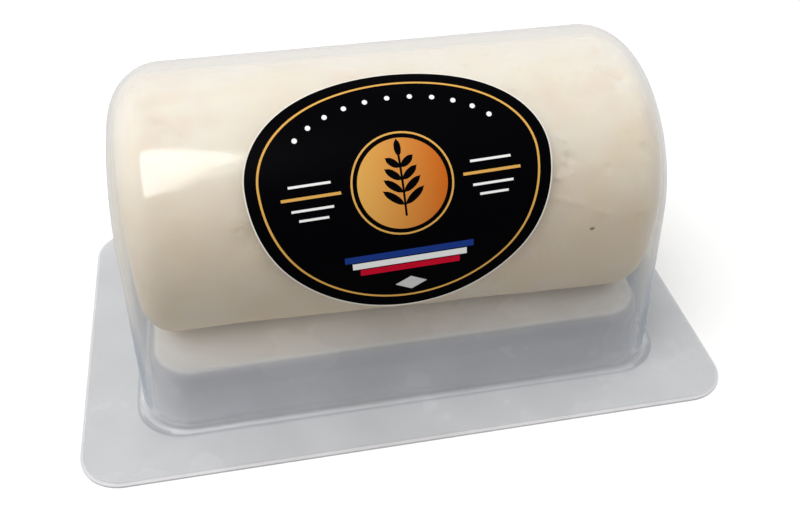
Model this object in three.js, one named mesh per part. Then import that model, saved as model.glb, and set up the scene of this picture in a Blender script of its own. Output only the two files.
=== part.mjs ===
// A goat cheese log in its clear thermoformed pack: a tray with a raised platform, the log
// lying on the platform, a close-fitting dome over it and an oval label on the dome.
// Millimetres, +Z up, X along the log, -Y the front. The origin is the middle of the underside.
import * as THREE from 'three';
import { mergeVertices } from 'three/addons/utils/BufferGeometryUtils.js';

// Driving dimensions of the cheese
const LOG_DIAMETER = 57.5;
const LOG_LENGTH = 114.5;
const LOG_EDGE_RADIUS = 6.5; // rounding between the side and each end
const LOG_END_CROWN = 0.8; // how far each end bulges at its middle
const LOG_FOOT_DEPTH = 3.05; // how deep the log settles flat onto the platform
const LOG_SAG = 2.4; // power of the oval that its lower half sags to, where 2 is round
const LOG_WAVER = 0.45; // how far the side wanders from a true cylinder

// Driving dimensions of the pack
const SHEET = 0.5; // thickness of the formed plastic
const SEAL_GAP = 0.2; // between sheets that lie on each other
const PACK_LENGTH = 150;
const PACK_WIDTH = 90;
const PACK_CORNER = 10;
const DOME_HEADROOM = 1.9; // between the log and the inside of the arch
const DOME_END_ROOM = 3.4; // between the log's ends and the inside of the dome's foot
const DOME_EDGE_RADIUS = 11.5; // rounding along the dome's ends and upright corners
const DOME_FOOT_RADIUS = 2; // where the wall turns out into the flange
const DRAFT = THREE.MathUtils.degToRad(2); // lean of the formed walls
const PLATFORM_HEIGHT = 15.3;
const PLATFORM_ROOM = 1.5; // between the platform's foot and the inside of the dome
const PLATFORM_EDGE_RADIUS = 2;
const PLATFORM_FOOT_RADIUS = 1;
const PLATFORM_DRAFT = THREE.MathUtils.degToRad(6);

// Driving dimensions of the label, as it lies flat before it is wrapped round the dome
const LABEL_LENGTH = 62.8;
const LABEL_RISE = 22; // from its widest line up to its top
const LABEL_DROP = 31.2; // from its widest line down to its foot, which is fuller
const LABEL_THICKNESS = 0.25;
const LABEL_OFFSET_X = -1; // the label sits a little left of the middle
const LABEL_FACING = THREE.MathUtils.degToRad(37.3); // how far up the arch its widest line lies
const LABEL_TURN = THREE.MathUtils.degToRad(2.2); // it was stuck on slightly askew

// Fineness of the faceted surfaces
const CORNER_STEPS = 7;
const ARCH_STEPS = 44;
const FILLET_STEPS = 4;
const LOG_SPOKES = 56;
const LOG_RINGS = 20;
const LOG_EDGE_STEPS = 5;
const LABEL_SPOKES = 64;
const LABEL_RINGS = 8;

// Places that follow from the driving dimensions
const LOG_RADIUS = LOG_DIAMETER / 2;
const DOME_RADIUS = LOG_RADIUS + DOME_HEADROOM + SHEET;
const FLANGE_TOP = 2 * SHEET + SEAL_GAP;
const AXIS_HEIGHT = PLATFORM_HEIGHT + SEAL_GAP + LOG_RADIUS - LOG_FOOT_DEPTH;
const SPRING_HEIGHT = AXIS_HEIGHT + DOME_RADIUS * Math.sin(DRAFT); // where wall runs into arch
const DOME_FOOT_HEIGHT = FLANGE_TOP + DOME_FOOT_RADIUS;
const DOME_HALF_LENGTH = LOG_LENGTH / 2 + DOME_END_ROOM + SHEET;
const DOME_HALF_WIDTH = DOME_RADIUS * Math.cos(DRAFT)
  + (SPRING_HEIGHT - DOME_FOOT_HEIGHT) * Math.tan(DRAFT);
const PLATFORM_HALF_LENGTH = DOME_HALF_LENGTH - SHEET - PLATFORM_ROOM;
const PLATFORM_HALF_WIDTH = DOME_HALF_WIDTH - SHEET - PLATFORM_ROOM;
const PLATFORM_CORNER = DOME_EDGE_RADIUS - SHEET - PLATFORM_ROOM;

const QUARTER_TURN = Math.PI / 2;
const FULL_TURN = 2 * Math.PI;

// Collects triangles whose corners are points, and gives them back as one merged geometry.
class Skin {
  constructor() {
    this.corners = [];
  }

  triangle(a, b, c) {
    this.corners.push(a.x, a.y, a.z, b.x, b.y, b.z, c.x, c.y, c.z);
  }

  quad(a, b, c, d) {
    this.triangle(a, b, c);
    this.triangle(a, c, d);
  }

  // A band between two closed loops of equal count, the outer one first.
  band(outer, inner) {
    outer.forEach((point, k) => {
      const next = (k + 1) % outer.length;
      this.quad(point, outer[next], inner[next], inner[k]);
    });
  }

  // Takes in another skin with its faces turned round.
  addReversed(other) {
    for (let at = 0; at < other.corners.length; at += 9) {
      const [ax, ay, az, bx, by, bz, cx, cy, cz] = other.corners.slice(at, at + 9);
      this.corners.push(ax, ay, az, cx, cy, cz, bx, by, bz);
    }
  }

  geometry() {
    const loose = new THREE.BufferGeometry();
    loose.setAttribute('position', new THREE.Float32BufferAttribute(this.corners, 3));
    return mergeVertices(loose, 1e-4);
  }
}

// A rounded rectangle at one height, counter-clockwise from its front left corner. Every loop
// has the same number of points, so that loops can be joined one to one.
function roundedLoop(halfX, halfY, radius, z) {
  const loop = [];
  const corners = [[-1, -1], [1, -1], [1, 1], [-1, 1]];
  corners.forEach(([sideX, sideY], corner) => {
    for (let step = 0; step <= CORNER_STEPS; step += 1) {
      const angle = Math.PI + QUARTER_TURN * (corner + step / CORNER_STEPS);
      loop.push(new THREE.Vector3(
        sideX * (halfX - radius) + radius * Math.cos(angle),
        sideY * (halfY - radius) + radius * Math.sin(angle),
        z,
      ));
    }
  });
  return loop;
}

// Loops of the flange and of the hollow rounding that rises from it into an upright wall.
// depth is how far below the sheet's upper face the loops lie.
function flangeLoops(wall, footRadius, flangeTop, depth) {
  const loops = [roundedLoop(PACK_LENGTH / 2, PACK_WIDTH / 2, PACK_CORNER, flangeTop - depth)];
  for (let step = 0; step <= FILLET_STEPS; step += 1) {
    const turn = QUARTER_TURN * step / FILLET_STEPS;
    const out = footRadius - (footRadius + depth) * Math.sin(turn);
    const z = flangeTop + footRadius - (footRadius + depth) * Math.cos(turn);
    loops.push(roundedLoop(wall.halfX + out, wall.halfY + out, wall.corner + out, z));
  }
  return loops;
}

// Closes a formed sheet: its upper skin, its lower skin turned round, and the cut edge.
function sheetGeometry(upper, lower) {
  const skin = new Skin();
  skin.corners.push(...upper.skin.corners);
  skin.addReversed(lower.skin);
  skin.band(lower.rim, upper.rim);
  return skin.geometry();
}

// One face of the tray: flange, platform wall, rounded edge and flat top.
function trayFace(depth) {
  const wall = { halfX: PLATFORM_HALF_LENGTH, halfY: PLATFORM_HALF_WIDTH, corner: PLATFORM_CORNER };
  const loops = flangeLoops(wall, PLATFORM_FOOT_RADIUS, SHEET, depth);
  const wallHeight = PLATFORM_HEIGHT - PLATFORM_EDGE_RADIUS - SHEET - PLATFORM_FOOT_RADIUS;
  const lean = wallHeight * Math.tan(PLATFORM_DRAFT);
  for (let step = 0; step <= FILLET_STEPS; step += 1) {
    const turn = QUARTER_TURN * step / FILLET_STEPS;
    const radius = PLATFORM_EDGE_RADIUS - depth;
    const inset = lean + PLATFORM_EDGE_RADIUS - radius * Math.cos(turn);
    const z = PLATFORM_HEIGHT - PLATFORM_EDGE_RADIUS + radius * Math.sin(turn);
    loops.push(roundedLoop(wall.halfX - inset, wall.halfY - inset, wall.corner - inset, z));
  }
  const skin = new Skin();
  for (let k = 1; k < loops.length; k += 1) {
    skin.band(loops[k - 1], loops[k]);
  }
  const top = loops[loops.length - 1];
  const middle = new THREE.Vector3(0, 0, top[0].z);
  top.forEach((point, k) => skin.triangle(point, top[(k + 1) % top.length], middle));
  return { skin, rim: loops[0] };
}

// Half of the dome's cross-section: up the front wall and over the arch, as y, z and the
// outward normal. depth moves it inwards by the thickness of the sheet.
function domeSection(depth) {
  const radius = DOME_RADIUS - depth;
  const points = [{
    y: -(DOME_HALF_WIDTH - depth / Math.cos(DRAFT)),
    z: DOME_FOOT_HEIGHT,
    normalY: -1,
    normalZ: 0,
  }];
  for (let step = 0; step <= ARCH_STEPS; step += 1) {
    const angle = DRAFT + (Math.PI - 2 * DRAFT) * step / ARCH_STEPS;
    points.push({
      y: -radius * Math.cos(angle),
      z: AXIS_HEIGHT + radius * Math.sin(angle),
      normalY: -Math.cos(angle),
      normalZ: Math.sin(angle),
    });
  }
  points.push({ ...points[0], y: -points[0].y, normalY: 1 });
  return points;
}

// One face of the dome: flange, walls, arch and the two rounded ends.
function domeFace(depth) {
  const edge = DOME_EDGE_RADIUS - depth;
  const halfLength = DOME_HALF_LENGTH - depth;
  const section = domeSection(depth);
  const last = section.length - 1;

  // Columns of points over the arch, one for each corner point of a rounded loop's front side.
  const columns = [];
  [-1, 1].forEach((side) => {
    for (let step = 0; step <= CORNER_STEPS; step += 1) {
      const share = side < 0 ? CORNER_STEPS - step : step;
      const turn = QUARTER_TURN * share / CORNER_STEPS;
      const inset = edge * (1 - Math.cos(turn));
      columns.push(section.map(({ y, z, normalY, normalZ }) => new THREE.Vector3(
        side * (halfLength - edge + edge * Math.sin(turn) - (z - DOME_FOOT_HEIGHT) * Math.tan(DRAFT)),
        y - normalY * inset,
        z - normalZ * inset,
      )));
    }
  });

  const skin = new Skin();
  for (let j = 1; j < columns.length; j += 1) {
    for (let i = 0; i < last; i += 1) {
      const [left, right] = [columns[j - 1], columns[j]];
      skin.quad(left[i], right[i], right[i + 1], left[i + 1]);
    }
  }
  [columns[0], columns[columns.length - 1]].forEach((end, side) => {
    const face = new Skin();
    for (let i = 0; i < last / 2 - 1; i += 1) {
      face.quad(end[i], end[last - i], end[last - i - 1], end[i + 1]);
    }
    const crown = Math.floor(last / 2);
    if (last % 2 === 0) {
      face.triangle(end[crown - 1], end[crown + 1], end[crown]);
    }
    if (side === 1) {
      skin.corners.push(...face.corners);
    } else {
      skin.addReversed(face);
    }
  });

  // The foot of the walls, joined to the flange below it.
  const foot = [...columns.map((c) => c[0]), ...columns.map((c) => c[last]).reverse()];
  const wall = { halfX: DOME_HALF_LENGTH, halfY: DOME_HALF_WIDTH, corner: DOME_EDGE_RADIUS };
  const loops = flangeLoops(wall, DOME_FOOT_RADIUS, FLANGE_TOP, depth);
  loops[loops.length - 1] = foot;
  for (let k = 1; k < loops.length; k += 1) {
    skin.band(loops[k - 1], loops[k]);
  }
  return { skin, rim: loops[0] };
}

// Places along X and radii of the log's outline, from the middle of one end to the other's.
function logProfile() {
  const half = LOG_LENGTH / 2;
  const endRadius = LOG_RADIUS - LOG_EDGE_RADIUS;
  const leftEnd = [
    { x: -half - LOG_END_CROWN, radius: 0 },
    { x: -half - LOG_END_CROWN * 0.75, radius: endRadius / 2 },
  ];
  for (let step = 0; step <= LOG_EDGE_STEPS; step += 1) {
    const turn = QUARTER_TURN * step / LOG_EDGE_STEPS;
    leftEnd.push({
      x: -half + LOG_EDGE_RADIUS * (1 - Math.cos(turn)),
      radius: endRadius + LOG_EDGE_RADIUS * Math.sin(turn),
    });
  }
  const side = [];
  const straight = LOG_LENGTH - 2 * LOG_EDGE_RADIUS;
  for (let ring = 1; ring < LOG_RINGS; ring += 1) {
    side.push({ x: straight * (ring / LOG_RINGS - 0.5), radius: LOG_RADIUS });
  }
  const rightEnd = leftEnd.map(({ x, radius }) => ({ x: -x, radius })).reverse();
  return [...leftEnd, ...side, ...rightEnd];
}

// A point on the hand-moulded log: its side wanders gently, and its lower half sags and lies
// flat on the platform.
function logPoint(x, radius, angle) {
  const along = FULL_TURN * x / LOG_LENGTH;
  const wander = 0.5 * Math.sin(2 * angle + 0.8 * along)
    + 0.3 * Math.sin(3 * angle - 1.7 * along + 1)
    + 0.2 * Math.sin(5 * angle + 2.6 * along + 2);
  const [across, up] = [Math.cos(angle), Math.sin(angle)];
  const oval = (Math.abs(across) ** LOG_SAG + Math.abs(up) ** LOG_SAG) ** (-1 / LOG_SAG);
  const sag = up < 0 ? oval : 1;
  const reach = sag * (radius - LOG_WAVER * (1 - wander) * radius / LOG_RADIUS / 2);
  const foot = LOG_FOOT_DEPTH - LOG_RADIUS;
  return new THREE.Vector3(x, reach * across, AXIS_HEIGHT + Math.max(reach * up, foot));
}

function logGeometry() {
  const rings = logProfile().map(({ x, radius }) => {
    const ring = [];
    for (let spoke = 0; spoke < LOG_SPOKES; spoke += 1) {
      ring.push(logPoint(x, radius, FULL_TURN * spoke / LOG_SPOKES));
    }
    return ring;
  });
  const skin = new Skin();
  for (let k = 1; k < rings.length; k += 1) {
    for (let spoke = 0; spoke < LOG_SPOKES; spoke += 1) {
      const next = (spoke + 1) % LOG_SPOKES;
      const [a, b, c, d] = [rings[k - 1][spoke], rings[k][spoke], rings[k][next], rings[k - 1][next]];
      if (k > 1 && k < rings.length - 1) {
        skin.quad(a, d, c, b);
      } else if (k === 1) {
        skin.triangle(a, c, b);
      } else {
        skin.triangle(a, d, b);
      }
    }
  }
  return skin.geometry();
}

// A point on the dome's front, at a distance along X and an arc length up from the level of
// the arch's centre, lifted off the surface.
function onDome(x, arc, lift) {
  const radius = DOME_RADIUS + lift;
  const angle = arc / DOME_RADIUS;
  if (angle >= DRAFT) {
    return new THREE.Vector3(x, -radius * Math.cos(angle), AXIS_HEIGHT + radius * Math.sin(angle));
  }
  const below = (DRAFT - angle) * DOME_RADIUS;
  return new THREE.Vector3(
    x,
    -radius * Math.cos(DRAFT) - below * Math.sin(DRAFT),
    AXIS_HEIGHT + radius * Math.sin(DRAFT) - below * Math.cos(DRAFT),
  );
}

// Rings of the oval label from its middle to its edge, wrapped round the dome.
function labelFace(lift) {
  const middle = LABEL_FACING * DOME_RADIUS;
  const skin = new Skin();
  let inner = null;
  for (let ring = 1; ring <= LABEL_RINGS; ring += 1) {
    const loop = [];
    for (let spoke = 0; spoke < LABEL_SPOKES; spoke += 1) {
      const angle = FULL_TURN * spoke / LABEL_SPOKES;
      const share = ring / LABEL_RINGS;
      const along = share * LABEL_LENGTH / 2 * Math.cos(angle);
      const up = share * (Math.sin(angle) > 0 ? LABEL_RISE : LABEL_DROP) * Math.sin(angle);
      loop.push(onDome(
        LABEL_OFFSET_X + along * Math.cos(LABEL_TURN) - up * Math.sin(LABEL_TURN),
        middle + along * Math.sin(LABEL_TURN) + up * Math.cos(LABEL_TURN),
        lift,
      ));
    }
    if (inner) {
      skin.band(loop, inner);
    } else {
      const centre = onDome(LABEL_OFFSET_X, middle, lift);
      loop.forEach((point, k) => skin.triangle(point, loop[(k + 1) % loop.length], centre));
    }
    inner = loop;
  }
  return { skin, rim: inner };
}

// Finishes
const cheese = new THREE.MeshStandardMaterial({ color: '#efe6d3', roughness: 0.62, metalness: 0 });
const clearPlastic = new THREE.MeshStandardMaterial({
  color: '#e4e8ea', roughness: 0.16, metalness: 0, transparent: true, opacity: 0.3,
});
const trayPlastic = new THREE.MeshStandardMaterial({
  color: '#d3d7dc', roughness: 0.22, metalness: 0, transparent: true, opacity: 0.5,
});
const labelPaper = new THREE.MeshStandardMaterial({ color: '#0b0b0e', roughness: 0.3, metalness: 0 });

function piece(name, geometry, material) {
  const mesh = new THREE.Mesh(geometry, material);
  mesh.name = name;
  return mesh;
}

const labelLift = SEAL_GAP + LABEL_THICKNESS;
const pack = new THREE.Group();
pack.add(piece('tray', sheetGeometry(trayFace(0), trayFace(SHEET)), trayPlastic));
pack.add(piece('cheese_log', logGeometry(), cheese));
pack.add(piece('dome', sheetGeometry(domeFace(0), domeFace(SHEET)), clearPlastic));
pack.add(piece('label', sheetGeometry(labelFace(labelLift), labelFace(SEAL_GAP)), labelPaper));

export default pack;
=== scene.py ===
import contextlib
import itertools
import math
import random

import bmesh
import bpy
from bpy.props import FloatProperty, FloatVectorProperty, IntProperty, PointerProperty
from mathutils import Matrix, Vector


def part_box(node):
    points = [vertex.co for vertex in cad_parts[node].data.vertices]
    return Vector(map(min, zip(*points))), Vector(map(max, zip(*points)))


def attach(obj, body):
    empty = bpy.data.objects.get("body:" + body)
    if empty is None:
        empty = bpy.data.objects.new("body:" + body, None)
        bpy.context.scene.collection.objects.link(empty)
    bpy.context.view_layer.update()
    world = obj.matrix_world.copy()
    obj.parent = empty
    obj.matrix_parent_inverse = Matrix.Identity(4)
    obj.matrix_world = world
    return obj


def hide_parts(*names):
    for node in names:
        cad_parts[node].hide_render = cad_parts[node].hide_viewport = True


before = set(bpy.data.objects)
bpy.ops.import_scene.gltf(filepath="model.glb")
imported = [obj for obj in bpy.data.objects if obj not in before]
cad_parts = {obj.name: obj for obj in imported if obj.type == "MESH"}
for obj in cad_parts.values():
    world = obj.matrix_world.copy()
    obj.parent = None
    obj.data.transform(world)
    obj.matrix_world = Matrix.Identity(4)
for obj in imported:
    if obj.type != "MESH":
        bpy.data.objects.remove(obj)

bl_info = {
    "name": "Goat Cheese Log Pack",
    "version": (1, 0, 0),
    "blender": (4, 5, 0),
    "location": "3D View > Sidebar > Cheese Pack",
    "description": "A goat cheese log on its tray under a clear dome with a label, and its studio stage",
    "category": "Add Mesh",
}

MM = 0.001
QUARTER_TURN = math.pi / 2

# The solids give the places that the finished pieces keep.
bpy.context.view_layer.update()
TRAY_LOW, TRAY_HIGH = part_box("tray")
DOME_LOW, DOME_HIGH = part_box("dome")
LOG_LOW, LOG_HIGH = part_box("cheese_log")


def hex_to_linear(code):
    """An sRGB colour such as "efe6d3" as linear red, green, blue and alpha."""
    values = [int(code[k:k + 2], 16) / 255 for k in (0, 2, 4)]
    linear = [v / 12.92 if v <= 0.04045 else ((v + 0.055) / 1.055) ** 2.4 for v in values]
    return (*linear, 1.0)


def length(name, description, millimetres):
    """A size that shows in the sidebar in scene units."""
    return FloatProperty(
        name=name, description=description, default=millimetres * MM,
        min=0.0, precision=5, unit="LENGTH", subtype="DISTANCE",
    )


def angle(name, description, degrees):
    """An angle that shows in the sidebar in degrees."""
    return FloatProperty(
        name=name, description=description, default=math.radians(degrees),
        unit="ROTATION", subtype="ANGLE",
    )


def number(name, description, value):
    """A plain number in the sidebar."""
    return FloatProperty(name=name, description=description, default=value)


def colour(name, description, code):
    """A colour that shows in the sidebar as a swatch."""
    return FloatVectorProperty(
        name=name, description=description, default=hex_to_linear(code),
        size=4, min=0.0, max=1.0, subtype="COLOR",
    )


class PackSizes(bpy.types.PropertyGroup):
    """Sizes of the two formed sheets"""

    sheet: length("Sheet", "Thickness of the formed plastic", 0.5)
    flange_corner: length("Flange corner", "Rounding of the flange's four corners", 10)
    flange_step: length("Flange step", "How far the dome's flange stays inside the tray's", 0.7)
    dome_radius: length("Arch radius", "Outer radius of the dome's arch", 31.15)
    dome_length: length("Dome length", "Outer length of the dome where it meets its flange", 122.44)
    dome_edge: length("Dome edge", "Rounding along the dome's ends and upright corners", 11.5)
    dome_foot: length("Dome foot", "Rounding where the dome turns out into its flange", 2)
    dome_draft: angle("Dome draft", "Lean of the dome's walls", 2)
    platform_length: length("Platform length", "Length of the tray's platform at its foot", 118.5)
    platform_width: length("Platform width", "Width of the tray's platform at its foot", 61.2)
    platform_corner: length("Platform corner", "Rounding of the platform's upright corners", 9.5)
    platform_edge: length("Platform edge", "Rounding along the platform's top edge", 2)
    platform_foot: length("Platform foot", "Rounding where the platform meets the flange", 1)
    platform_draft: angle("Platform draft", "Lean of the platform's walls", 6)
    # Painted shade and light: the wall tone is darker than the flange's, and the platform tone lighter.
    plastic: colour("Tray plastic", "Milky plastic of the tray's flange", "cfced1")
    wall: colour("Tray wall", "Thinner plastic of the platform's walls", "c8c6cb")
    platform: colour("Platform", "Milkiest plastic, on top of the platform", "f4f3f3")
    haze: colour("Film haze", "Tint of the clear film's milky haze", "f1efec")
    # Painted shade: the low haze is darker and bluer than the haze above it.
    painted_shade_low_haze: colour("Low haze", "The same low down, where the sheet is drawn thin", "dfe0e3")
    film: colour("Film", "What the clear film lets through", "fafbfb")
    # Painted shade: this tint darkens the low walls where the eye looks along the sheet.
    painted_shade_film_edge: colour("Film edge", "What it lets through seen along its walls, low down", "b3c1ce")
    # Painted shade: the crease tint is darker than the film, to darken the fold round the dome's foot.
    crease: colour("Film crease", "What the tight fold round the dome's foot lets through", "eff0f1")


class CheeseLook(bpy.types.PropertyGroup):
    """Shape and colours of the cheese"""

    diameter: length("Diameter", "Thickness of the log", 57.2)
    edge: length("Edge", "Rounding between the log's side and its ends", 6.5)
    crown: length("End crown", "How far the ends bulge", 0.8)
    sag_left: number("Sag left", "Power of the oval of the left end's lower half, where 2 is round", 2.05)
    sag_right: number("Sag right", "Power of the oval of the right end's lower half", 2.65)
    lumps: length("Lumps", "Height of the broad unevenness of the side", 0.9)
    ripple: length("Ripple", "Height of the finer unevenness", 0.35)
    grain: length("Grain", "Spacing of the curd grain", 0.8)
    paste: colour("Paste", "Cream white of the fresh paste", "f5ecdf")
    # The whey tone is also painted low on the log's flanks, as painted shade.
    whey: colour("Whey", "Damp, slightly yellower patches", "efdabc")
    blush: colour("Blush", "Rosy smudges where the curd is closer", "f0dccb")
    speck: colour("Speck", "Brown specks on the side", "8a7354")
    seed: IntProperty(name="Seed", description="Draw of the small pits", default=7, min=0)


class LabelPrint(bpy.types.PropertyGroup):
    """Sizes and inks of the label"""

    half_length: length("Half length", "Half of the label's length along the log", 31.4)
    rise: length("Rise", "From the label's widest line up to its top", 22)
    drop: length("Drop", "From the label's widest line down to its foot", 31.2)
    thickness: length("Thickness", "Thickness of the label paper", 0.22)
    shift: FloatProperty(
        name="Shift", description="How far the label sits from the middle of the log",
        default=-1 * MM, precision=5, unit="LENGTH", subtype="DISTANCE",
    )
    facing: angle("Facing", "How far up the arch the label's widest line lies", 37.3)
    turn: angle("Turn", "How far askew the label was stuck on", 2.2)
    paper: colour("Paper", "Bare paper at the cut edge", "e9e4da")
    black: colour("Black", "Ground colour", "020204")
    gold: colour("Gold", "Lines and pale end of the medallion", "d9a655")
    orange: colour("Orange", "Deep end of the medallion", "c2611a")
    white: colour("White", "White bars and pearls", "eeeeec")
    blue: colour("Blue", "Blue bar", "1d3a86")
    red: colour("Red", "Red bar", "c8102e")
    grey: colour("Grey", "Pale lozenge", "c9c8c6")


class StudioSetup(bpy.types.PropertyGroup):
    """Camera and lights"""

    lens: FloatProperty(
        name="Lens", description="Focal length on a 36 mm wide sensor", default=41.75, unit="CAMERA",
    )
    heading: angle("Heading", "How far the camera turns to the right of straight on", 10.915)
    pitch: angle("Pitch", "How far the camera looks down", 39.517)
    place: FloatVectorProperty(
        name="Place", description="Where the camera stands", size=3, subtype="TRANSLATION", unit="LENGTH",
        default=(-30.2 * MM, -175.4 * MM, 165.4 * MM),
    )
    floor: colour("Floor", "Pale floor", "fbfbfa")
    dim: number("Dim side", "Strength of the room's light from its dim side", 0.44)
    bright: number("Bright side", "Strength of the light from its bright side", 0.86)
    ends: number("Ends", "Strength added where the room faces the log's ends", 0.36)
    top: number("Top light", "Power of the large soft light above", 5.2)
    window: number("Window", "Strength of the window that mirrors in the dome", 5.5)


# Modelling by operators

def primitive(kind, name, **settings):
    """Adds a mesh primitive as the only selected object, with its place in its mesh."""
    bpy.ops.object.select_all(action="DESELECT")
    getattr(bpy.ops.mesh, f"primitive_{kind}_add")(**settings)
    made = bpy.context.object
    made.name = made.data.name = name
    bpy.ops.object.transform_apply(location=True, rotation=True, scale=True)
    return made


@contextlib.contextmanager
def editing(piece):
    """Edit mode on one piece, starting with nothing selected."""
    bpy.context.view_layer.objects.active = piece
    bpy.ops.object.mode_set(mode="EDIT")
    bpy.ops.mesh.select_all(action="DESELECT")
    yield
    bpy.ops.object.mode_set(mode="OBJECT")


def pick(piece, kind, test):
    """Selects the vertices, edges or faces that pass a test, and nothing else."""
    bpy.ops.mesh.select_mode(type=kind)
    bpy.ops.mesh.select_all(action="DESELECT")
    mesh = bmesh.from_edit_mesh(piece.data)
    for item in {"VERT": mesh.verts, "EDGE": mesh.edges, "FACE": mesh.faces}[kind]:
        if test(item):
            item.select_set(True)
    mesh.select_flush_mode()
    bmesh.update_edit_mesh(piece.data)


def middle(item):
    """The middle of an edge or a face."""
    return sum((v.co for v in item.verts), Vector()) / len(item.verts)


def middle_normal(piece):
    """In edit mode, the mean normal of a piece's faces."""
    mesh = bmesh.from_edit_mesh(piece.data)
    mesh.normal_update()
    return sum((f.normal for f in mesh.faces), Vector()) / len(mesh.faces)


def near(a, b):
    """True for two places closer than a hundredth of a millimetre."""
    return abs(a - b) < 0.01 * MM


def modify(piece, kind, **settings):
    """Adds a modifier and applies it."""
    bpy.context.view_layer.objects.active = piece
    modifier = piece.modifiers.new(kind.title(), kind)
    for name, value in settings.items():
        setattr(modifier, name, value)
    bpy.ops.object.modifier_apply(modifier=modifier.name)


def smooth(piece, degrees, flats=False):
    """Smooth shading, with edges sharper than an angle left crisp and, if asked, large faces kept flat."""
    bpy.ops.object.select_all(action="DESELECT")
    piece.select_set(True)
    bpy.context.view_layer.objects.active = piece
    bpy.ops.object.shade_smooth_by_angle(angle=math.radians(degrees))
    if flats:
        modify(piece, "WEIGHTED_NORMAL", keep_sharp=True)


def join(pieces):
    """Joins pieces into the first of them."""
    bpy.ops.object.select_all(action="DESELECT")
    for piece in pieces:
        piece.select_set(True)
    bpy.context.view_layer.objects.active = pieces[0]
    bpy.ops.object.join()
    return pieces[0]


def hand_over(piece, node):
    """A finished piece stands for its solid and moves with the pack."""
    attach(piece, "root")
    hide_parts(node)


# Materials

def add_node(tree, kind, inputs=(), **settings):
    """Adds a node with its settings. An input is a value, or another node's output to link."""
    made = tree.nodes.new(kind)
    for name, value in settings.items():
        setattr(made, name, value)
    for socket, value in dict(inputs).items():
        if isinstance(value, bpy.types.NodeSocket):
            tree.links.new(value, made.inputs[socket])
        else:
            made.inputs[socket].default_value = value
    return made


def new_material(name):
    """An empty node material and its output node."""
    material = bpy.data.materials.new(name)
    material.use_nodes = True
    material.node_tree.nodes.clear()
    return material, add_node(material.node_tree, "ShaderNodeOutputMaterial")


def ramp(tree, value, start, end, low=0.0, high=1.0, eased=False):
    """What runs from low to high while a value runs from start to end."""
    made = add_node(tree, "ShaderNodeMapRange", {
        "Value": value, "From Min": start, "From Max": end, "To Min": low, "To Max": high,
    }, interpolation_type="SMOOTHSTEP" if eased else "LINEAR")
    return made.outputs["Result"]


def reckon(tree, operation, *values):
    """The result of one sum."""
    return add_node(tree, "ShaderNodeMath", enumerate(values), operation=operation).outputs[0]


def blend(tree, share, first, second):
    """A colour that lies a share of the way from a first to a second."""
    return add_node(tree, "ShaderNodeMix", {0: share, 6: first, 7: second}, data_type="RGBA").outputs[2]


def blend_shaders(tree, share, first, second):
    """A surface that lies a share of the way from a first to a second."""
    return add_node(tree, "ShaderNodeMixShader", {0: share, 1: first, 2: second}).outputs[0]


def noise(tree, where, spacing, detail, roughness=0.5):
    """A soft pattern whose features lie this far apart."""
    made = add_node(tree, "ShaderNodeTexNoise", {
        "Vector": where, "Scale": 1 / spacing, "Detail": detail, "Roughness": roughness,
    })
    return made.outputs["Fac"]


# Most of a noise lies between these values.
NOISE_BAND = (0.3, 0.7)

# Refractive indices of the clear film, the tray's plastic and the damp paste
FILM_INDEX = 1.45
TRAY_INDEX = 1.49
PASTE_INDEX = 1.44

# Heights on the dome: where its walls rise clear of the flange, and where their low haze fades out
OFF_FLANGE = (1.5 * MM, 5 * MM)
LOW_HAZE = (34 * MM, 16 * MM)

# Share of haze in the film, seen straight on, seen along the sheet, and in the low corners
HAZE_FACING = 0.03
HAZE_ALONG = 0.5
HAZE_CORNER = 0.22
# How far from the middle the corners begin to cloud, and where they are cloudiest
CORNER_REACH = (34 * MM, 57 * MM)


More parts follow.
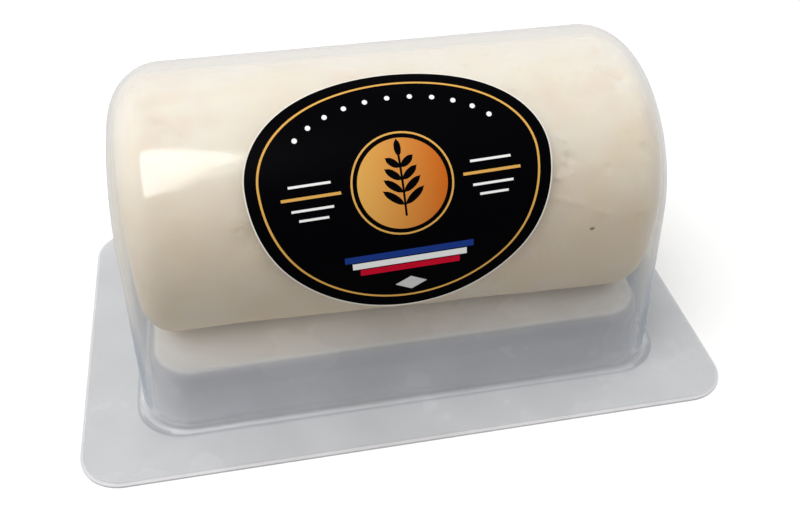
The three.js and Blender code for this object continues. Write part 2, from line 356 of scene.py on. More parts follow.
def clear_film(name, sizes, tint):
    """Clear formed PET sheet: see-through and glossy, with a milky haze from the forming that thickens
    where the eye looks along the sheet, and a duller shine on the flange, where it was drawn least. Low
    down, its haze and what it lets through are painted darker and bluer, as painted shade."""
    material, output = new_material(name)
    tree = material.node_tree
    where = add_node(tree, "ShaderNodeTexCoord").outputs["Object"]
    place = add_node(tree, "ShaderNodeSeparateXYZ", {"Vector": where}).outputs
    glance = add_node(tree, "ShaderNodeLayerWeight", {"Blend": 0.5}).outputs["Facing"]
    # Draw marks of the forming, some 14 mm long, bend the highlights a little.
    waves = noise(tree, where, 14 * MM, 3.0)
    bump = add_node(tree, "ShaderNodeBump", {"Height": waves, "Strength": 0.08, "Distance": 0.4 * MM})
    gloss = add_node(tree, "ShaderNodeBsdfGlossy", {
        "Color": (1, 1, 1, 1), "Roughness": ramp(tree, place["Z"], 3 * MM, 5 * MM, 0.4, 0.11),
        "Normal": bump.outputs["Normal"],
    })
    # The walls' lower half, clear of the flange, and the part of it that the eye looks along. There the film
    # is painted darker, as painted shade.
    low_down = reckon(
        tree, "MULTIPLY",
        ramp(tree, place["Z"], *LOW_HAZE, eased=True), ramp(tree, place["Z"], *OFF_FLANGE, eased=True),
    )
    painted_shade_long_way = reckon(tree, "MULTIPLY", ramp(tree, glance, 0.6, 0.85, eased=True), low_down)
    # Painted shade: where the eye looks along the low walls, the film lets through a darker blue-grey.
    let_through = blend(tree, painted_shade_long_way, tint, sizes.painted_shade_film_edge)
    through = add_node(tree, "ShaderNodeBsdfTransparent", {"Color": let_through}).outputs[0]
    # The haze takes light from both sides of the sheet, and low down mostly from the side that is seen. Its
    # tone is painted darker and bluer low down, and darker still where the eye looks along the sheet:
    # painted shade.
    milk = blend(tree, painted_shade_long_way, blend(tree, low_down, sizes.haze, sizes.painted_shade_low_haze), sizes.painted_shade_film_edge)
    lit_side = add_node(tree, "ShaderNodeBsdfDiffuse", {"Color": milk}).outputs[0]
    far_side = add_node(tree, "ShaderNodeBsdfTranslucent", {"Color": milk}).outputs[0]
    haze = blend_shaders(tree, ramp(tree, low_down, 0, 1, 0.5, 0.2), lit_side, far_side)
    along = ramp(tree, glance, 0.25, 0.9, HAZE_FACING, HAZE_ALONG, eased=True)
    # The low corners are stretched most, which clouds them.
    reach = reckon(tree, "ABSOLUTE", place["X"])
    corner = ramp(tree, reach, *CORNER_REACH, 0, HAZE_CORNER, eased=True)
    clouded = reckon(tree, "MULTIPLY", corner, low_down)
    veil = blend_shaders(tree, reckon(tree, "MAXIMUM", along, clouded), through, haze)
    # Seen from inside the sheet the index is turned over, so both faces mirror alike.
    back = add_node(tree, "ShaderNodeNewGeometry").outputs["Backfacing"]
    index = ramp(tree, back, 0, 1, FILM_INDEX, 1 / FILM_INDEX)
    mirror = add_node(tree, "ShaderNodeFresnel", {"IOR": index}).outputs[0]
    tree.links.new(blend_shaders(tree, mirror, veil, gloss.outputs[0]), output.inputs["Surface"])
    return material


def milky_plastic(sizes):
    """Milky formed polypropylene: pale grey and softly glossy. The top of the platform is painted lighter
    than the flange, as painted light, and its walls darker, as painted shade."""
    material, output = new_material("milky_formed_polypropylene")
    tree = material.node_tree
    where = add_node(tree, "ShaderNodeTexCoord").outputs["Object"]
    place = add_node(tree, "ShaderNodeSeparateXYZ", {"Vector": where}).outputs
    # Cloudy streaks, some 18 mm long, where the sheet stretched unevenly.
    clouds = noise(tree, where, 18 * MM, 3.0)
    shade = ramp(tree, clouds, *NOISE_BAND, 0.92, 1.06)
    above_flange = ramp(tree, place["Z"], 0.8 * MM, 2.5 * MM)
    # Painted light: the platform and its walls are lighter towards the left, where more light falls, and
    # darker towards the right.
    painted_left_light = ramp(tree, place["X"], -45 * MM, 45 * MM, 1.14, 0.9)
    uneven = ramp(tree, above_flange, 0, 1, 1.0, painted_left_light)
    # Painted shade and light: the walls are painted darker than the flange, and the top of the platform
    # lighter.
    drawn = blend(tree, above_flange, sizes.plastic, sizes.wall)
    on_top = ramp(tree, place["Z"], TRAY_HIGH.z - 0.5 * MM, TRAY_HIGH.z - 0.1 * MM)
    tone = add_node(tree, "ShaderNodeVectorMath", {
        0: blend(tree, on_top, drawn, sizes.platform), "Scale": reckon(tree, "MULTIPLY", shade, uneven),
    }, operation="SCALE")
    body = add_node(tree, "ShaderNodeBsdfPrincipled", {
        "Base Color": tone.outputs["Vector"], "Roughness": ramp(tree, clouds, *NOISE_BAND, 0.2, 0.3),
        "IOR": TRAY_INDEX,
    })
    tree.links.new(body.outputs[0], output.inputs["Surface"])
    return material


def fresh_cheese(look):
    """Fresh goat cheese: cream white and faintly see-through, damp in patches, with a fine curd grain. Its
    lower flanks are painted yellower and darker, as painted shade.
    """
    material, output = new_material("fresh_goat_cheese")
    tree = material.node_tree
    where = add_node(tree, "ShaderNodeTexCoord").outputs["Object"]
    height = add_node(tree, "ShaderNodeSeparateXYZ", {"Vector": where}).outputs["Z"]
    # Damp patches, some 16 mm across.
    patches = noise(tree, where, 16 * MM, 4.0, 0.55)
    # Painted shade: lower down the flanks the paste is painted towards the darker, yellower whey tone, and
    # the crown whiter. The flanks are also glossier lower down.
    low_down = ramp(tree, height, LOG_HIGH.z, LOG_HIGH.z - 25 * MM, -0.25, 0.25)
    damp = ramp(tree, reckon(tree, "ADD", patches, low_down), 0.15, 0.85)
    # Rosy smudges, some 9 mm across, where the curd was pressed closer.
    smudges = noise(tree, where, 9 * MM, 2.0)
    pressed = ramp(tree, smudges, 0.5, 0.68, 0, 0.6)
    tone = blend(tree, pressed, blend(tree, damp, look.paste, look.whey), look.blush)
    # Curd grain. It is drawn at the coarsest size that curd has, so that it shows.
    grain = noise(tree, where, look.grain, 3.0, 0.6)
    bump = add_node(tree, "ShaderNodeBump", {"Height": grain, "Strength": 0.35, "Distance": 0.12 * MM})
    paste = add_node(tree, "ShaderNodeBsdfPrincipled", {
        "Base Color": tone, "Roughness": ramp(tree, damp, 0, 1, 0.62, 0.42), "IOR": PASTE_INDEX,
        "Subsurface Weight": 0.3, "Subsurface Radius": (1.0, 0.75, 0.5), "Subsurface Scale": 3 * MM,
        "Normal": bump.outputs["Normal"],
    })
    tree.links.new(paste.outputs[0], output.inputs["Surface"])
    return material


def printed_paper(name, tone, roughness):
    """Coated label paper under one ink: even, closed and softly glossy, with a trace of paper tooth."""
    material, output = new_material(name)
    tree = material.node_tree
    where = add_node(tree, "ShaderNodeTexCoord").outputs["Object"]
    # Paper tooth, about 0.6 mm, lets the gloss waver.
    tooth = noise(tree, where, 0.6 * MM, 2.0)
    ink = add_node(tree, "ShaderNodeBsdfPrincipled", {
        "Base Color": tone, "Roughness": ramp(tree, tooth, 0, 1, roughness - 0.06, roughness + 0.06),
        "Specular IOR Level": 0.02,
    })
    tree.links.new(ink.outputs[0], output.inputs["Surface"])
    return material, ink


def graded_paper(name, left, right, low, high, roughness):
    """The same paper under an ink that runs from one tone at the left to another at the right."""
    material, ink = printed_paper(name, left, roughness)
    tree = material.node_tree
    where = add_node(tree, "ShaderNodeTexCoord").outputs["Object"]
    across = add_node(tree, "ShaderNodeSeparateXYZ", {"Vector": where}).outputs["X"]
    tone = blend(tree, ramp(tree, across, low, high), left, right)
    tree.links.new(tone, ink.inputs["Base Color"])
    return material


def plain_material(name, tone, roughness):
    """An even matte finish for small marks and for the stage."""
    material, output = new_material(name)
    body = add_node(material.node_tree, "ShaderNodeBsdfPrincipled", {
        "Base Color": tone, "Roughness": roughness,
    })
    material.node_tree.links.new(body.outputs[0], output.inputs["Surface"])
    return material


# Formed sheets

ARCH_SEGMENTS = 128
CORNER_SEGMENTS = 12
DOME_FOOT_SEGMENTS = 6
PLATFORM_EDGE_SEGMENTS = 7
PLATFORM_FOOT_SEGMENTS = 4
# Edges of the sheets sharper than this many degrees stay crisp.
SHEET_CREASE = 40


def add_flange(piece, half_x, half_y, corner):
    """In edit mode, draws the piece's open lower edge out into a flange with rounded corners."""
    pick(piece, "EDGE", lambda e: e.is_boundary)
    bpy.ops.mesh.extrude_region_move()
    for side_x, side_y in itertools.product((-1, 1), repeat=2):
        def in_corner(vert):
            return vert.is_boundary and vert.co.x * side_x > 0 and vert.co.y * side_y > 0

        arc = [v.co for v in bmesh.from_edit_mesh(piece.data).verts if in_corner(v)]
        reach_x = [abs(point.x) for point in arc]
        reach_y = [abs(point.y) for point in arc]
        centre = Vector((side_x * min(reach_x), side_y * min(reach_y), arc[0].z))
        place = Vector((side_x * (half_x - corner), side_y * (half_y - corner), arc[0].z))
        stretch = (corner / (max(reach_x) - min(reach_x)), corner / (max(reach_y) - min(reach_y)), 1)
        pick(piece, "VERT", in_corner)
        bpy.ops.transform.resize(value=stretch, center_override=centre)
        bpy.ops.transform.translate(value=place - centre)


def round_foot(piece, z, radius, segments):
    """In edit mode, rounds the crease where the walls meet the flange."""
    def crease(edge):
        low = all(near(v.co.z, z) for v in edge.verts)
        return low and len(edge.link_faces) == 2 and edge.calc_face_angle() > 1.0

    pick(piece, "EDGE", crease)
    bpy.ops.mesh.bevel(offset=radius, segments=segments, affect="EDGES", clamp_overlap=False)


def close_sheet(piece, thickness):
    """Turns a formed skin into a sheet with a cut edge."""
    with editing(piece):
        bpy.ops.mesh.select_all(action="SELECT")
        bpy.ops.mesh.remove_doubles(threshold=0.002 * MM)
        bpy.ops.mesh.normals_make_consistent(inside=False)
    modify(piece, "SOLIDIFY", thickness=thickness, offset=-1, use_even_offset=True)


class CHEESE_OT_dome(bpy.types.Operator):
    """Clear dome: a half drum cut at its spring line, drawn down to a flange and rounded"""

    bl_idname = "cheese_pack.dome"
    bl_label = "Clear Dome"

    def execute(self, context):
        sizes = context.scene.cheese_pack_sizes
        radius = sizes.dome_radius
        axis = DOME_HIGH.z - radius
        flange = DOME_LOW.z + sizes.sheet
        half = sizes.dome_length / 2
        spring = axis + radius * math.sin(sizes.dome_draft)
        half_width = radius * math.cos(sizes.dome_draft)
        drop = spring - flange
        dome = primitive(
            "cylinder", "clear_dome", vertices=ARCH_SEGMENTS, radius=radius, depth=2 * half,
            location=(0, 0, axis), rotation=(0, QUARTER_TURN, 0),
        )
        with editing(dome):
            bpy.ops.mesh.select_all(action="SELECT")
            bpy.ops.mesh.bisect(plane_co=(0, 0, spring), plane_no=(0, 0, 1), clear_inner=True)
            pick(dome, "EDGE", lambda e: e.is_boundary)
            bpy.ops.mesh.extrude_region_move(TRANSFORM_OT_translate={"value": (0, 0, -drop)})
            spread = 1 + drop * math.tan(sizes.dome_draft) / half_width
            bpy.ops.transform.resize(value=(1, spread, 1), center_override=(0, 0, flange))
            for side in (-1, 1):
                pick(dome, "VERT", lambda v: v.co.x * side > 0)
                bpy.ops.transform.rotate(
                    value=side * sizes.dome_draft, orient_axis="Y",
                    center_override=(side * half, 0, flange),
                )
            pick(dome, "EDGE", lambda e: len(e.link_faces) == 2 and abs(middle(e).x) > half - 6 * MM
                 and abs(e.link_faces[0].normal.x - e.link_faces[1].normal.x) > 0.5)
            bpy.ops.mesh.bevel(
                offset=sizes.dome_edge, segments=CORNER_SEGMENTS, affect="EDGES", clamp_overlap=False,
            )
            step = sizes.flange_step
            add_flange(dome, DOME_HIGH.x - step, DOME_HIGH.y - step, sizes.flange_corner - step)
            round_foot(dome, flange, sizes.dome_foot, DOME_FOOT_SEGMENTS)
            # The last narrow strip of the foot is where the sheet folds tightest. Its film lets less
            # through: painted shade that darkens the fold to a thin line.
            pick(dome, "FACE", lambda f: f.normal.z > 0.93 and 0.02 * MM < middle(f).z - flange < 0.3 * MM)
            dome.data.materials.append(clear_film("clear_formed_pet_film", sizes, sizes.film))
            dome.data.materials.append(clear_film("crease_painted_shade_pet_film", sizes, sizes.crease))
            dome.active_material_index = 1
            bpy.ops.object.material_slot_assign()
        close_sheet(dome, sizes.sheet)
        smooth(dome, SHEET_CREASE, flats=True)
        hand_over(dome, "dome")
        return {"FINISHED"}


class CHEESE_OT_tray(bpy.types.Operator):
    """Tray: a raised platform with rounded edges on a flat flange, hollow underneath"""

    bl_idname = "cheese_pack.tray"
    bl_label = "Milky Tray"

    def execute(self, context):
        sizes = context.scene.cheese_pack_sizes
        flange = TRAY_LOW.z + sizes.sheet
        top = TRAY_HIGH.z
        length_x, width_y = sizes.platform_length, sizes.platform_width
        lean = 2 * (top - flange) * math.tan(sizes.platform_draft)
        tray = primitive(
            "cube", "milky_tray", size=1, location=(0, 0, (flange + top) / 2),
            scale=(length_x, width_y, top - flange),
        )
        with editing(tray):
            pick(tray, "FACE", lambda f: f.normal.z < -0.5)
            bpy.ops.mesh.delete(type="FACE")
            pick(tray, "FACE", lambda f: f.normal.z > 0.5)
            bpy.ops.transform.resize(
                value=(1 - lean / length_x, 1 - lean / width_y, 1), center_override=(0, 0, top),
            )
            pick(tray, "EDGE", lambda e: abs(e.verts[0].co.z - e.verts[1].co.z) > 1 * MM)
            bpy.ops.mesh.bevel(
                offset=sizes.platform_corner, segments=CORNER_SEGMENTS, affect="EDGES", clamp_overlap=False,
            )
            pick(tray, "EDGE", lambda e: all(near(v.co.z, top) for v in e.verts))
            bpy.ops.mesh.bevel(
                offset=sizes.platform_edge, segments=PLATFORM_EDGE_SEGMENTS, affect="EDGES",
                clamp_overlap=False,
            )
            add_flange(tray, TRAY_HIGH.x, TRAY_HIGH.y, sizes.flange_corner)
            round_foot(tray, flange, sizes.platform_foot, PLATFORM_FOOT_SEGMENTS)
        close_sheet(tray, sizes.sheet)
        smooth(tray, SHEET_CREASE, flats=True)
        tray.data.materials.append(milky_plastic(sizes))
        hand_over(tray, "tray")
        return {"FINISHED"}


# Cheese

# Dents and, with a negative depth, flecks that stand up. Each runs from one place on the log to another,
# given in mm along it and degrees up its front, and has a width and a depth in mm.
MARKS = (
    ((-49, 81), (-47, 80), 9, 0.6),
    ((-47.6, 70), (-44, 66), 3, 0.7),
    ((-46.5, 66), (-44, 64), 2.5, -0.5),
    ((-33, 18), (-30, 16), 9, 0.3),
    ((46.7, 76), (50.5, 68.6), 3, 0.65),
    ((40, 63), (42, 62), 8, 0.35),
    ((52, 36), (52.5, 33), 3.5, 0.45),
    ((53, 54), (53.4, 51), 3, -0.35),
    ((33.3, 45), (34, 43), 2.2, -0.4),
    ((34.7, 36), (35.3, 34), 3, 0.55),
    ((34, 32), (34.6, 30.5), 2.6, 0.55),
    ((32.2, 28), (33, 27), 2.2, -0.45),
    ((31.5, 19), (37, 15), 2.4, -0.3),
    ((41, 10.5), (43, 9.5), 2.6, -0.35),
    ((51, 8.5), (52.5, 8), 2.6, -0.35),
)
# Brown specks: place along the log in mm, degrees up its front, and length in mm.
SPECKS = ((40.2, 2.5, 1.2), (23.2, 94, 0.5))
# Small pits: how many there are, and the range of their widths and depths in mm.
PITS = 90
PIT_WIDTH = (1.6, 3.6)
PIT_DEPTH = (0.08, 0.3)
LOG_SPOKES = 96
LOG_EDGE_SEGMENTS = 8
LOG_VOXEL = 0.66 * MM
LOG_CREASE = 60
# A point lies on a spoke if its way out differs by less than 0.15 of the step between two spokes.
SAME_SPOKE = math.cos(0.15 * 2 * math.pi / LOG_SPOKES)


def on_log(axis, radius, x, lift):
    """A point of the log's side, x along it and lift radians up its front, and the way out there."""
    out = Vector((0, -math.cos(lift), math.sin(lift)))
    return Vector((x, 0, axis)) + out * radius, out


def press(log, place, out, width, depth):
    """In edit mode, presses a soft hollow into the log."""
    mesh = bmesh.from_edit_mesh(log.data)
    nearest = min(mesh.verts, key=lambda v: (v.co - place).length_squared)
    pick(log, "VERT", lambda v: v.index == nearest.index)
    bpy.ops.transform.translate(
        value=-out * depth, use_proportional_edit=True, proportional_edit_falloff="SMOOTH",
        proportional_size=width / 2,
    )


class CHEESE_OT_log(bpy.types.Operator):
    """Cheese log: a rounded drum made uneven, dented and pitted, settled flat on its foot"""

    bl_idname = "cheese_pack.log"
    bl_label = "Cheese Log"

    def execute(self, context):
        look = context.scene.cheese_pack_cheese
        radius = look.diameter / 2
        axis = DOME_HIGH.z - context.scene.cheese_pack_sizes.dome_radius
        half = LOG_HIGH.x - look.crown
        log = primitive(
            "cylinder", "goat_cheese_log", vertices=LOG_SPOKES, radius=radius, depth=2 * half,
            location=(0, 0, axis), rotation=(0, QUARTER_TURN, 0),
        )
        with editing(log):
            pick(log, "EDGE", lambda e: near(e.verts[0].co.x, e.verts[1].co.x))
            bpy.ops.mesh.bevel(
                offset=look.edge, segments=LOG_EDGE_SEGMENTS, affect="EDGES", clamp_overlap=False,
            )
            pick(log, "FACE", lambda f: abs(f.normal.x) > 0.99 and len(f.verts) > 4)
            bpy.ops.mesh.inset(thickness=radius * 0.35, depth=look.crown * 0.7, use_even_offset=False)
            bpy.ops.mesh.inset(thickness=radius * 0.25, depth=look.crown * 0.3, use_even_offset=False)
            for side, power in ((-1, look.sag_left), (1, look.sag_right)):
                self.sag(log, axis, side, power)
        modify(log, "REMESH", mode="VOXEL", voxel_size=LOG_VOXEL)
        for name, spacing, height in (("lumps", 34, look.lumps), ("ripple", 7, look.ripple)):
            texture = bpy.data.textures.new(f"cheese_{name}", "CLOUDS")
            texture.noise_scale = spacing * MM
            texture.noise_depth = 2
            modify(
                log, "DISPLACE", texture=texture, strength=height, mid_level=0.5, texture_coords="GLOBAL",
            )
        draw = random.Random(look.seed)
        with editing(log):
            # Softens the ridge where each end's rounder and fuller halves meet.
            pick(log, "VERT", lambda v: abs(v.co.x) > half - 0.2 * MM)
            bpy.ops.mesh.vertices_smooth(factor=0.5, repeat=14)
            for start, end, width, depth in MARKS:
                steps = max(2, round(math.dist(start, end) / (width / 2)))
                for k in range(steps):
                    x, degrees = Vector(start).lerp(Vector(end), k / (steps - 1))
                    place, out = on_log(axis, radius, x * MM, math.radians(degrees))
                    press(log, place, out, width * MM, depth * MM)
            # The pits lie thickest towards the right end.
            for _ in range(PITS):
                x = draw.triangular(-0.9, 0.95, 0.8) * half
                place, out = on_log(axis, radius, x, draw.uniform(-0.9, 3.6))
                press(log, place, out, draw.uniform(*PIT_WIDTH) * MM, draw.uniform(*PIT_DEPTH) * MM)
            bpy.ops.mesh.select_all(action="SELECT")
            bpy.ops.mesh.bisect(
                plane_co=(0, 0, LOG_LOW.z), plane_no=(0, 0, 1), clear_inner=True, use_fill=True,
            )
        smooth(log, LOG_CREASE)
        log.data.materials.append(fresh_cheese(look))
        self.add_specks(log, look, axis, radius)
        hand_over(log, "cheese_log")
        return {"FINISHED"}

    def sag(self, log, axis, side, power):
        """In edit mode, draws one end's lower half out, spoke by spoke, from round to a fuller oval."""
        for spoke in range(1, LOG_SPOKES // 2):
            turn = 2 * math.pi * spoke / LOG_SPOKES
            across, down = abs(math.cos(turn)), math.sin(turn)
            fuller = (across ** power + down ** power) ** (-1 / power)
            ray = Vector((math.cos(turn), -down))

            def on_spoke(vert):
                arm = Vector((vert.co.y, vert.co.z - axis))
                off_axis = vert.co.x * side > 0 and arm.length > 1 * MM
                return off_axis and arm.normalized().dot(ray) > SAME_SPOKE

            pick(log, "VERT", on_spoke)
            bpy.ops.transform.resize(value=(1, fuller, fuller), center_override=(0, 0, axis))

    def add_specks(self, log, look, axis, radius):
        """Joins small dark specks, half sunk in the paste, to the log."""
        material = plain_material("dried_herb_speck", look.speck, 0.7)
        specks = []
        for x, degrees, size in SPECKS:
            place, out = on_log(axis, radius, x * MM, math.radians(degrees))
            found, hit, _, _ = log.ray_cast(place + out * 5 * MM, -out)
            if not found:
                raise RuntimeError("a speck lies off the log")
            speck = primitive("ico_sphere", "speck", subdivisions=2, radius=size * MM / 2)
            with editing(speck):
                bpy.ops.mesh.select_all(action="SELECT")
                bpy.ops.transform.resize(value=(1.0, 0.6, 0.35))
                bpy.ops.transform.vertex_random(offset=0.12 * MM, seed=len(specks))
            speck.data.transform(Matrix.Translation(hit) @ out.to_track_quat("Z", "Y").to_matrix().to_4x4())
            speck.data.materials.append(material)
            specks.append(speck)
        join([log, *specks])


# Label

def flat_oval(name, half_length, rise, drop, vertices=160):
    """A flat filled oval on the ground plane, deeper below its widest line than above it."""
    oval = primitive("circle", name, vertices=vertices, radius=1, fill_type="NGON")
    with editing(oval):
        for side, reach in ((1, rise), (-1, drop)):
            pick(oval, "VERT", lambda v: v.co.y * side > 1e-6)
            bpy.ops.transform.resize(value=(1, reach, 1), center_override=(0, 0, 0))
        bpy.ops.mesh.select_all(action="SELECT")
        bpy.ops.transform.resize(value=(half_length, 1, 1), center_override=(0, 0, 0))
    return oval


def flat_ring(name, half_length, rise, drop, width):
    """A thin line that follows such an oval."""
    ring = flat_oval(name, half_length, rise, drop)
    with editing(ring):
        bpy.ops.mesh.select_mode(type="FACE")
        bpy.ops.mesh.select_all(action="SELECT")
        bpy.ops.mesh.inset(thickness=width)
        bpy.ops.mesh.delete(type="FACE")
    return ring


def flat_leaf(name, reach, width):
    """A pointed leaf that lies along X from the origin."""
    leaf = flat_oval(name, reach / 2, width / 2, width / 2, vertices=20)
    with editing(leaf):
        for side in (-1, 1):
            pick(leaf, "VERT", lambda v: near(v.co.x, side * reach / 2))
            bpy.ops.transform.translate(value=(side * reach * 0.09, 0, 0))
        bpy.ops.mesh.select_all(action="SELECT")
        bpy.ops.transform.translate(value=(reach * 0.59, 0, 0))
    return leaf


def flat_bar(name, length_x, width_y):
    """A straight bar."""
    bar = primitive("plane", name, size=1)
    with editing(bar):
        bpy.ops.mesh.select_all(action="SELECT")
        bpy.ops.transform.resize(value=(length_x, width_y, 1), center_override=(0, 0, 0))
    return bar


def lay(shape, material, lift, thickness, at=(0, 0), turn=0.0):
    """Places a flat shape on the label and gives it its ink and thickness."""
    with editing(shape):
        bpy.ops.mesh.select_all(action="SELECT")
        if turn:
            bpy.ops.transform.rotate(value=-turn, orient_axis="Z", center_override=(0, 0, 0))
        bpy.ops.transform.translate(value=(at[0], at[1], lift))
        if middle_normal(shape).z < 0:
            bpy.ops.mesh.flip_normals()
    modify(shape, "SOLIDIFY", thickness=thickness, offset=-1)
    shape.data.materials.append(material)
    return shape


class CHEESE_OT_label(bpy.types.Operator):
    """Oval label: printed flat, cut into fine strips and wrapped round the dome's front"""

    bl_idname = "cheese_pack.label"
    bl_label = "Oval Label"

    def execute(self, context):
        sizes = context.scene.cheese_pack_sizes
        inks = context.scene.cheese_pack_label
        label = join(self.print_flat(inks))
        self.wrap(label, sizes, inks)
        smooth(label, 30)
        hand_over(label, "label")
        return {"FINISHED"}

    def print_flat(self, inks):
        """The label as it lies flat: paper, black ground and a plain ornament."""
        rough = 0.36
        black, _ = printed_paper("black_coated_paper", inks.black, rough)
        paper, _ = printed_paper("bare_label_paper", inks.paper, 0.6)
        gold, _ = printed_paper("gold_ink", inks.gold, rough)
        white, _ = printed_paper("white_ink", inks.white, rough)
        blue, _ = printed_paper("blue_ink", inks.blue, rough)
        red, _ = printed_paper("red_ink", inks.red, rough)
        grey, _ = printed_paper("grey_ink", inks.grey, rough)
        disc_reach = 9.2 * MM
        medal_y = -2.5 * MM
        sunny = graded_paper(
            "gold_to_orange_ink", inks.gold, inks.orange,
            inks.shift - disc_reach, inks.shift + disc_reach, rough,
        )
        top = 0.05 * MM + inks.thickness
        reach, rise, drop = inks.half_length, inks.rise, inks.drop

        def inset(gap):
            return reach - gap, rise - gap, drop - gap

        film, first, second = 0.1 * MM, top + 0.012 * MM, top + 0.024 * MM
        third = top + 0.036 * MM
        pieces = [
            lay(flat_oval("oval_label", *inset(0)), paper, top, inks.thickness),
            lay(flat_oval("ground", *inset(0.25 * MM)), black, first, film),
            lay(flat_ring("rule", *inset(2.6 * MM), 0.45 * MM), gold, second, film),
            lay(flat_oval("disc", *[disc_reach] * 3, vertices=96), sunny, second, film, (0, medal_y)),
            lay(flat_ring("halo", *[disc_reach + 1.3 * MM] * 3, 0.4 * MM), gold, second, film, (0, medal_y)),
        ]
        pieces += self.sprig(black, third, film, -9 * MM)
        for side in (-1, 1):
            pieces.append(lay(flat_bar("rule_bar", 12 * MM, 0.6 * MM), gold, second, film,
                              (side * 18.5 * MM, medal_y)))
            for row, reach_x in ((2.4, 8.5), (-2.4, 8.5), (-4.4, 6)):
                at = (side * 18.5 * MM, medal_y + row * MM)
                pieces.append(lay(flat_bar("fine_bar", reach_x * MM, 0.5 * MM), white, second, film, at))
        for k in range(-5, 6):
            swing = math.radians(11 * k)
            at = ((reach - 7 * MM) * math.sin(swing), (rise - 6.4 * MM) * math.cos(swing))
            pieces.append(lay(flat_oval("pearl", *[0.55 * MM] * 3, vertices=16), white, second, film, at))
        for row, ink in enumerate((blue, white, red)):
            at = (0, (-17.2 - 1.75 * row) * MM)
            pieces.append(lay(flat_bar("stripe", (27 - 3 * row) * MM, 1.5 * MM), ink, second, film, at))
        lozenge = flat_oval("lozenge", 3.4 * MM, 1.7 * MM, 1.7 * MM, vertices=4)
        pieces.append(lay(lozenge, grey, second, film, (0, -25.2 * MM)))
        return pieces

    def sprig(self, ink, lift, film, foot):
        """A stem with paired leaves, printed on the medallion."""
        pieces = [lay(flat_bar("stem", 0.45 * MM, 12.5 * MM), ink, lift, film, (0, foot + 6.2 * MM))]
        for pair in range(4):
            height = foot + (2.2 + 2.5 * pair) * MM
            for side in (-1, 1):
                leaf = flat_leaf("leaf", (4.6 - 0.5 * pair) * MM, 1.5 * MM)
                turn = QUARTER_TURN - side * math.radians(52)
                pieces.append(lay(leaf, ink, lift, film, (0, height), turn))
        tip = flat_leaf("leaf", 3.2 * MM, 1.4 * MM)
        pieces.append(lay(tip, ink, lift, film, (0, foot + 11.8 * MM), QUARTER_TURN))
        return pieces

    def wrap(self, label, sizes, inks):
        """Turns the flat print askew, stands it up and bends it round the arch and down the wall."""
        radius = sizes.dome_radius
        climb = inks.facing * radius
        with editing(label):
            bpy.ops.mesh.select_all(action="SELECT")
            bpy.ops.transform.rotate(value=-inks.turn, orient_axis="Z", center_override=(0, 0, 0))
            bpy.ops.transform.translate(value=(inks.shift, climb, 0))
            strip = 1 * MM
            low, high = climb - inks.drop - strip, climb + inks.rise + strip
            for k in range(int((high - low) / strip) + 1):
                bpy.ops.mesh.select_all(action="SELECT")
                bpy.ops.mesh.bisect(plane_co=(0, low + k * strip, 0), plane_no=(0, 1, 0))
            bpy.ops.mesh.select_all(action="SELECT")
            bpy.ops.transform.rotate(value=-QUARTER_TURN, orient_axis="X", center_override=(0, 0, 0))
        heights = [v.co.z for v in label.data.vertices]
        bottom, top = min(heights), max(heights)
        spring = sizes.dome_draft * radius
        modify(
            label, "SIMPLE_DEFORM", deform_method="BEND", deform_axis="X",
            angle=(top - spring) / radius, limits=((spring - bottom) / (top - bottom), 1.0),
        )
        with editing(label):
            bpy.ops.mesh.select_all(action="SELECT")
            bpy.ops.transform.translate(value=(0, -radius, DOME_HIGH.z - radius))


# Stage

def area_light(name, place, aim, size, power, tone):
    """A square soft light that looks at a point."""
    data = bpy.data.lights.new(name, "AREA")
    data.shape = "SQUARE"
    data.size = size
    data.energy = power
    data.color = tone
    light = bpy.data.objects.new(name, data)
    light.location = place
    light.rotation_euler = (Vector(aim) - Vector(place)).to_track_quat("-Z", "Y").to_euler()
    bpy.context.scene.collection.objects.link(light)
    return light


# Panes of the window: places along each in metres, with its lower and upper edge there.
WINDOW = (
    (
        (-0.55, -0.205, 0.26), (-0.03, -0.2, 0.18), (0.002, -0.085, 0.122),
        (0.019, -0.02, 0.105), (0.04, 0.005, 0.046),
    ),
    ((0.008, -0.128, -0.105), (0.022, -0.082, -0.062), (0.04, -0.03, -0.01)),
)
WINDOW_PLACE = (-0.0743, -0.3085, 0.5905)
WINDOW_TILT = math.radians(28.6)

# The large soft light stands up to the left and a little in front. Places and sizes are in metres.
KEY_PLACE = (-0.28, -0.18, 0.88)
KEY_AIM = (0, 0, 0.03)
KEY_SIZE = 0.7
KEY_TONE = (1.0, 0.98, 0.95)

# The way to the brightest side of the room, above and behind
BRIGHT_WAY = (0.0, 0.6, 0.6)


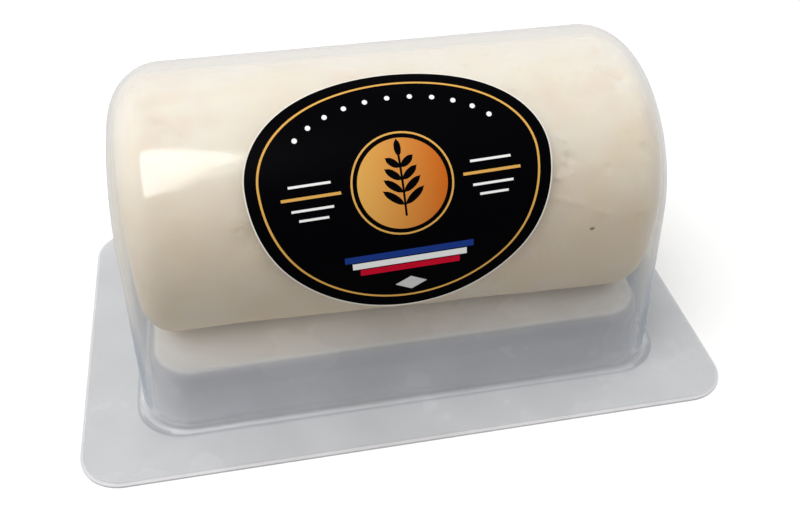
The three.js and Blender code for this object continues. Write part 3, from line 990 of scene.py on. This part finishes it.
class CHEESE_OT_stage(bpy.types.Operator):
    """Stage: a pale floor, soft light from above, a window that mirrors in the dome, and the camera"""

    bl_idname = "cheese_pack.stage"
    bl_label = "Studio Stage"

    def execute(self, context):
        studio = context.scene.cheese_pack_studio
        floor = primitive("plane", "floor", size=6, location=(0, 0, 0))
        floor.data.materials.append(plain_material("matte_white_floor", studio.floor, 0.8))
        floor.visible_diffuse = floor.visible_glossy = False
        self.add_window(studio)

        world = bpy.data.worlds.new("soft_room")
        world.use_nodes = True
        background = world.node_tree.nodes["Background"]
        background.inputs["Color"].default_value = hex_to_linear("f2f3f5")
        tree = world.node_tree
        outward = add_node(tree, "ShaderNodeTexCoord").outputs["Generated"]
        # The room is brightest above and behind, and brighter at its two ends than in front.
        aim = add_node(tree, "ShaderNodeVectorMath", {0: outward, 1: BRIGHT_WAY}, operation="DOT_PRODUCT")
        glow = ramp(tree, aim.outputs["Value"], -0.8, 0.8, studio.dim, studio.bright, eased=True)
        sideways = add_node(tree, "ShaderNodeSeparateXYZ", {"Vector": outward}).outputs["X"]
        end_glow = ramp(tree, reckon(tree, "ABSOLUTE", sideways), 0.4, 1, 0, studio.ends, eased=True)
        tree.links.new(reckon(tree, "ADD", glow, end_glow), background.inputs["Strength"])
        context.scene.world = world

        key = area_light("top_light", KEY_PLACE, KEY_AIM, KEY_SIZE, studio.top, KEY_TONE)
        key.visible_glossy = False

        camera_data = bpy.data.cameras.new("camera")
        camera_data.sensor_fit = "HORIZONTAL"
        camera_data.sensor_width = 36
        camera_data.lens = studio.lens
        camera_data.clip_start = 0.01
        camera = bpy.data.objects.new("camera", camera_data)
        camera.location = studio.place
        camera.rotation_euler = (QUARTER_TURN - studio.pitch, 0, -studio.heading)
        context.scene.collection.objects.link(camera)
        context.scene.camera = camera
        context.scene.view_settings.view_transform = "Standard"
        return {"FINISHED"}

    def add_window(self, studio):
        """A bright panel behind and above the camera that only mirrors see. It tapers to the right."""
        panes = []
        for (left, low, high), *rest in WINDOW:
            pane = primitive("plane", "window", size=1)
            with editing(pane):
                bpy.ops.mesh.select_all(action="SELECT")
                bpy.ops.transform.resize(value=(1 * MM, high - low, 1), center_override=(0, 0, 0))
                bpy.ops.transform.translate(value=(left, (low + high) / 2, 0))
                pick(pane, "EDGE", lambda e: all(v.co.x > left for v in e.verts))
                for right, next_low, next_high in rest:
                    step = (right - left, next_low - low, 0)
                    bpy.ops.mesh.extrude_region_move(TRANSFORM_OT_translate={"value": step})
                    taper = (next_high - next_low) / (high - low)
                    bpy.ops.transform.resize(value=(1, taper, 1), center_override=(0, next_low, 0))
                    left, low, high = right, next_low, next_high
            panes.append(pane)
        window = join(panes)
        window.location = WINDOW_PLACE
        window.rotation_euler = (WINDOW_TILT, 0, 0)
        material, output = new_material("bright_window")
        glow = add_node(material.node_tree, "ShaderNodeEmission", {"Strength": studio.window})
        material.node_tree.links.new(glow.outputs[0], output.inputs["Surface"])
        window.data.materials.append(material)
        window.visible_camera = window.visible_diffuse = window.visible_shadow = False


class CHEESE_PT_pack(bpy.types.Panel):
    """Sidebar panel with the pieces of the pack and their sizes and colours"""

    bl_idname = "CHEESE_PT_pack"
    bl_label = "Goat Cheese Log Pack"
    bl_space_type = "VIEW_3D"
    bl_region_type = "UI"
    bl_category = "Cheese Pack"

    def draw(self, context):
        for operator, group in STEPS:
            self.layout.operator(operator.bl_idname)
            settings = getattr(context.scene, group)
            for name in settings.__annotations__:
                self.layout.prop(settings, name)


GROUPS = {
    "cheese_pack_sizes": PackSizes,
    "cheese_pack_cheese": CheeseLook,
    "cheese_pack_label": LabelPrint,
    "cheese_pack_studio": StudioSetup,
}
STEPS = (
    (CHEESE_OT_tray, "cheese_pack_sizes"),
    (CHEESE_OT_log, "cheese_pack_cheese"),
    (CHEESE_OT_dome, "cheese_pack_sizes"),
    (CHEESE_OT_label, "cheese_pack_label"),
    (CHEESE_OT_stage, "cheese_pack_studio"),
)
CLASSES = (*GROUPS.values(), *(operator for operator, _ in STEPS), CHEESE_PT_pack)


def register():
    for cls in CLASSES:
        bpy.utils.register_class(cls)
    for name, group in GROUPS.items():
        setattr(bpy.types.Scene, name, PointerProperty(type=group))


def unregister():
    for name in GROUPS:
        delattr(bpy.types.Scene, name)
    for cls in reversed(CLASSES):
        bpy.utils.unregister_class(cls)


def main():
    register()
    for operator, _ in STEPS:
        group, name = operator.bl_idname.split(".")
        getattr(getattr(bpy.ops, group), name)()


if __name__ == "__main__":
    main()
